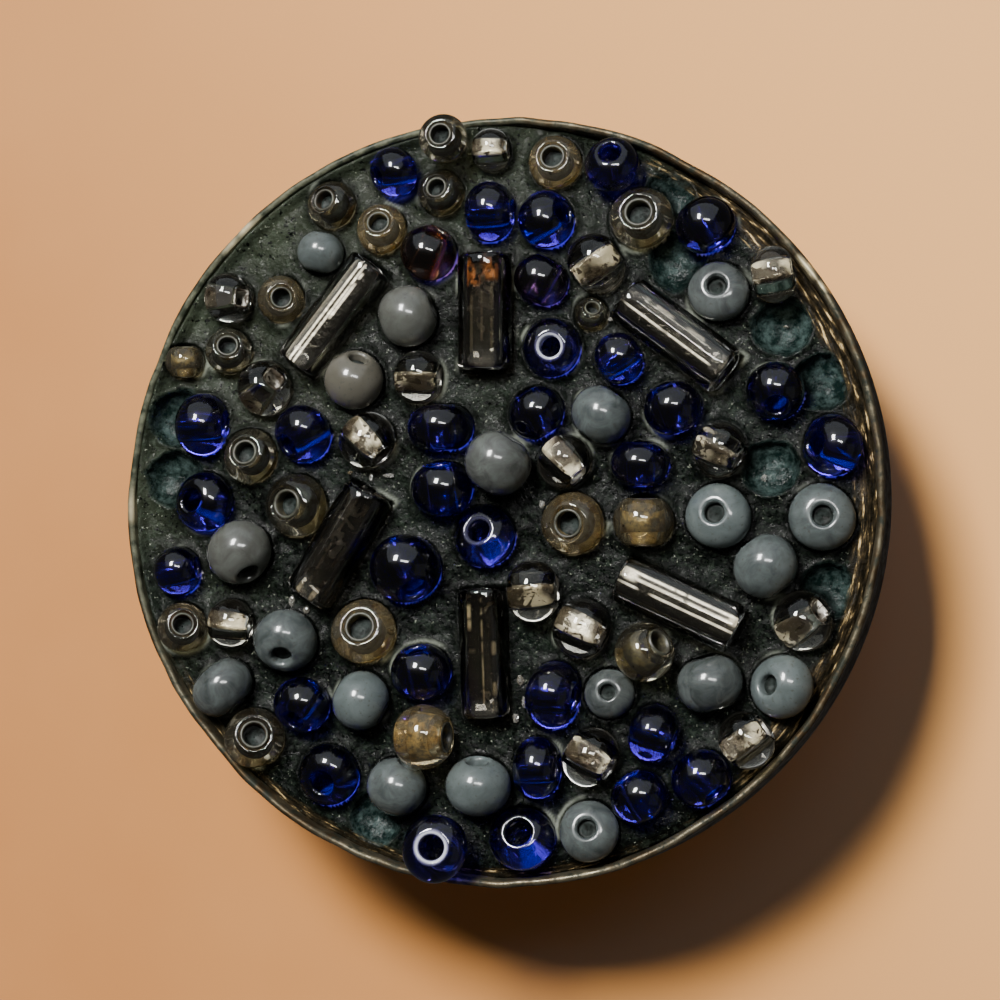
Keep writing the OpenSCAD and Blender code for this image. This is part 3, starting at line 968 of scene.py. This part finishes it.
def strap(path, width, thick, edge=0.18):
    """A bent strip: a flat section with rounded edges, carried along a path in the YZ plane."""
    section = []
    for cx, cz, start in ((1, 1, 0), (-1, 1, 90), (-1, -1, 180), (1, -1, 270)):
        section += arc(cx * (width / 2 - edge), cz * (thick / 2 - edge), edge, start, start + 90, 4)
    path = np.array(path, float)
    along = np.gradient(path, axis=0)
    along /= np.linalg.norm(along, axis=1)[:, None]
    verts = []
    for (y, z), (dy, dz) in zip(path, along):
        verts += [(sx, y - dz * sz, z + dy * sz) for sx, sz in section]
    n = len(section)
    faces = loop_faces(len(path), n, closed=False)
    faces += [tuple(range(n))[::-1], tuple((len(path) - 1) * n + i for i in range(n))]
    return np.array(verts), faces


def clip_piece():
    """A paddle and a pad on one strip, which is bent twice round the open gap for the lobe."""
    paddle_r, pad_r, paddle_t, pad_t = 4.5, 5.0, 0.9, 0.6
    pad_high = clip_high[2]
    b = Builder()
    b.add(*rounded_disc(paddle_r, 0.0, paddle_t, 0.25))
    b.add(*rounded_disc(pad_r, pad_high - pad_t, pad_high, 0.18))
    half, turn_r = paddle_t / 2, 1.1
    back = clip_low[1] + half
    top = pad_high - half
    line = [(y, half) for y in np.linspace(0, back + turn_r, 8)]
    line += arc(back + turn_r, half + turn_r, turn_r, 270, 180, 9)[1:]
    line += [(back, z) for z in np.linspace(half + turn_r, top - turn_r, 6)][1:]
    line += arc(back + turn_r, top - turn_r, turn_r, 180, 90, 9)[1:]
    line += [(y, top) for y in np.linspace(back + turn_r, -3.5, 5)][1:]
    b.add(*strap(line, 4.0, paddle_t - 0.04))
    piece = b.piece("clip", [clip_material()])
    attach(piece, "root")
    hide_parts("ear_clip")


# The object

tray_piece()
enamel_piece()
splinter_piece()
clip_piece()

bead_piece("cobalt_beads", "cobalt", [cobalt_material()], 31, looks=(
    (-2.25, 8.0, 0.6, 1.0, 0.0), (1.5, 7.15, 0.2, 0.5, 0.0), (1.8, 4.95, 0.1, 0.0, 1.0),
    (-1.9, -11.2, 0.5, 0.0, 1.0), (-0.3, -1.15, 0.0, 0.0, 0.25), (-10.8, -2.3, 0.1, 0.0, 0.3),
    (-2.95, -2.25, 0.0, 0.0, 0.0), (-9.9, 2.5, 0.9, 0.0, 0.0),
))
opal_looks = [opal_material(), plug_material()]
bead_piece("opal_beads", "opal", opal_looks, 32, narrow=0.82, filled=0.62, looks=(
    (-4.75, 3.9, 0.25, 1.0, 0.0), (-2.9, 5.8, 0.3, 0.5, 0.0), (-8.6, -1.65, 0.2, 0.4, 0.0),
    (0.2, 1.3, 0.1, 0.2, 0.0), (3.65, -6.2, 0.0, 0.0, 0.0),
))
smoke_looks = [smoke_material(), bore_dirt_material(), plug_material()]
bead_piece("smoke_beads", "smoke", smoke_looks, 33, narrow=1.3, filled=0.3, lining="dirt", looks=(
    (-4.35, -4.3, 0.9, 0.0, 0.0), (-2.3, -7.8, 1.0, 0.0, 0.0), (-10.7, -4.2, 0.3, 1.0, 0.0),
    (-8.2, -7.9, 0.2, 0.9, 0.0), (-5.4, 9.8, 0.2, 0.6, 0.0), (2.5, -0.75, 1.0, 0.0, 0.0),
))
silver_looks = [
    clear_material("clear_glass", (0.82, 0.81, 0.76), (0.72, 0.68, 0.56), (0.35, 0.33, 0.28)),
    lining_material("silver_foil", (0.97, 0.94, 0.84), (0.03, 0.022, 0.012), (0.04, 0.03, 0.02),
                    patch_mm=0.38, low=0.5, high=0.53, roughness=0.18),
]
bead_piece("silver_beads", "silver", silver_looks, 34, square=1.0, lining="foil")

BLACK, SOOT = (0.004, 0.0038, 0.0035), (0.006, 0.0055, 0.0045)
# On the tube linings below, the bright colour shows where the painted stripes of reflected light
# lie.
bright = lining_material("bugle_foil", (0.97, 0.96, 0.93), (0.03, 0.025, 0.02), BLACK,
                         patch_mm=1.2, low=0.64, high=0.74, roughness=0.3)
sooty = lining_material("bugle_soot", (0.3, 0.28, 0.24), (0.008, 0.007, 0.006), BLACK,
                        patch_mm=0.7, low=0.55, high=0.68, roughness=0.25)
dirty = lining_material("bugle_dirt", (0.75, 0.7, 0.56), (0.05, 0.04, 0.022), SOOT,
                        patch_mm=0.6, low=0.58, high=0.68, roughness=0.25)
smoky = clear_material("bugle_glass", (0.88, 0.87, 0.83), (0.78, 0.73, 0.62), (0.5, 0.48, 0.42))
dusky = clear_material("dusky_glass", (0.6, 0.58, 0.52), (0.45, 0.41, 0.33), (0.25, 0.22, 0.17))

# The stripes given to each tube are painted reflections of the lamps in its foil.
bugle_piece("bugle_top_left", [smoky, bright], 41, stripes=(
    (58, 20, 0.35, 0.0, -1, 1), (22, 3.5, 1.0, 0.05, -1, 1),
    (5, 4, 1.0, 0.1, -1, 1), (-6, 5, 1.0, 0.65, -0.2, 0.9),
))
bugle_piece("bugle_top", [dusky, sooty], 42, stripes=(
    (30, 4, 0.25, 0.2, -0.8, 0.3), (-2, 3, 0.3, 0.3, -0.9, 0.4), (-30, 4, 0.22, 0.2, -0.8, 0.5),
), rust=(
    (45, 35, 0.4, 0.95), (-45, 35, 0.5, 1.0), (62, 9, -0.9, 0.6),
))
bugle_piece("bugle_top_right", [smoky, bright], 43, stripes=(
    (12, 3, 1.0, 0.05, -0.8, 0.95), (-38, 6, 0.25, 0.6, -0.6, 0.8),
    (-14, 2.5, 0.6, 0.6, -0.9, 0.7), (68, 5, 0.6, 0.2, -0.8, 0.6),
))
bugle_piece("bugle_left", [dusky, sooty], 44, stripes=(
    (10, 4, 0.12, 0.4, -0.8, 0.9), (-30, 5, 0.1, 0.5, -0.8, 0.9),
    (28, 7, 1.0, 0.1, -1, -0.8), (-22, 7, 1.0, 0.1, -1, -0.75),
))
bugle_piece("bugle_right", [smoky, bright], 45, stripes=(
    (-35, 4, 1.0, 0.05, -1, 1), (-16, 4, 1.0, 0.1, -1, 1), (-22, 16, 1.0, 0.0, 0.72, 1),
    (-24, 12, 1.0, 0.0, -1, -0.84), (10, 3.5, 1.0, 0.15, -1, 1), (66, 8, 0.8, 0.2, -0.7, 0.6),
))
bugle_piece("bugle_bottom", [dusky, dirty], 46, stripes=(
    (38, 7, 1.0, 0.2, 0.35, 0.95), (-6, 3, 0.35, 0.5, -0.9, 0.9),
    (-48, 10, 0.7, 0.75, -0.95, 0.3), (30, 12, 0.4, 0.1, -0.05, 0.08),
))


# Floor, light and camera

camera_right = Vector((0, 1, 0)).cross(LOOK).normalized()
camera_up = LOOK.cross(camera_right).normalized()
FACE = Vector((0, 0, 8.6 * MM))
CAMERA_AWAY = 0.1
LENS_MM = 110


def flat_floor():
    """The floor, which shows neither in the beads nor through them, as in the photograph."""
    reach = 400.0
    corners = [(-reach, -reach, 0), (reach, -reach, 0), (reach, reach, 0), (-reach, reach, 0)]
    floor = mesh_piece("floor", np.array(corners, float), [(0, 1, 2, 3)], [floor_material()])
    floor.visible_transmission = False
    floor.visible_glossy = False


def stand(name, data, where, turned):
    """An object for a lamp or a camera, at a place and turned by a quaternion."""
    holder = bpy.data.objects.new(name, data)
    bpy.context.scene.collection.objects.link(holder)
    holder.location = where
    holder.rotation_mode = "QUATERNION"
    holder.rotation_quaternion = turned
    return holder


def facing(right, up, way):
    return Matrix((right, up, way)).transposed().to_quaternion()


def softbox(name, right, up, out, distance, wide, high, watts, colour, lights="all", roll=0):
    """An area lamp that faces the earring from a distance, to the right, up and out of the face.

    lights names what it does: all, the surfaces only, or only the shine on them.
    """
    lamp = bpy.data.lights.new(name, "AREA")
    lamp.shape = "RECTANGLE"
    lamp.size, lamp.size_y = wide, high
    lamp.energy = watts
    lamp.color = colour
    way = (camera_right * right + camera_up * up + LOOK * out).normalized()
    across = camera_up.cross(way).normalized()
    turned = facing(across, way.cross(across), way) @ Quaternion((0, 0, 1), math.radians(roll))
    holder = stand(name, lamp, FACE + way * distance, turned)
    holder.visible_diffuse = lights != "shine"
    holder.visible_glossy = holder.visible_transmission = lights != "surfaces"


flat_floor()
WARM_WHITE, COOL_WHITE = (1.0, 0.98, 0.95), (0.85, 0.93, 1.0)
softbox("key", -0.34, 0.46, 0.82, 0.3, 0.07, 0.07, 2.4, WARM_WHITE, "surfaces")
softbox("window", -0.4, 0.54, 0.74, 0.3, 0.06, 0.1, 2.0, WARM_WHITE, "shine")
softbox("long_window", 0.09, 0.33, 0.94, 0.34, 0.15, 0.04, 0.7, (1.0, 0.99, 0.97), "shine",
        roll=-14)
# The sky is three lamps, one inside the other, so that its reflection fades towards its edge
for n, (wide, high, watts) in enumerate(((0.72, 0.56, 1.0), (0.52, 0.38, 0.9), (0.32, 0.2, 0.4))):
    softbox("sky_%d" % n, -0.1, 0.85, 0.55, 0.36, wide, high, watts, COOL_WHITE, "shine")
softbox("fill", 0.8, -0.2, 0.5, 0.4, 0.3, 0.3, 0.03, (0.9, 0.95, 1.0))

world = bpy.data.worlds.new("room")
bpy.context.scene.world = world
world.use_nodes = True
background = world.node_tree.nodes["Background"]
background.inputs["Color"].default_value = (1.0, 0.95, 0.88, 1)
background.inputs["Strength"].default_value = 0.07

lens = bpy.data.cameras.new("camera")
lens.lens = LENS_MM
lens.clip_start, lens.clip_end = 0.005, 5.0
bpy.context.scene.camera = stand("camera", lens, FACE + LOOK * CAMERA_AWAY,
                                 facing(camera_right, camera_up, LOOK))
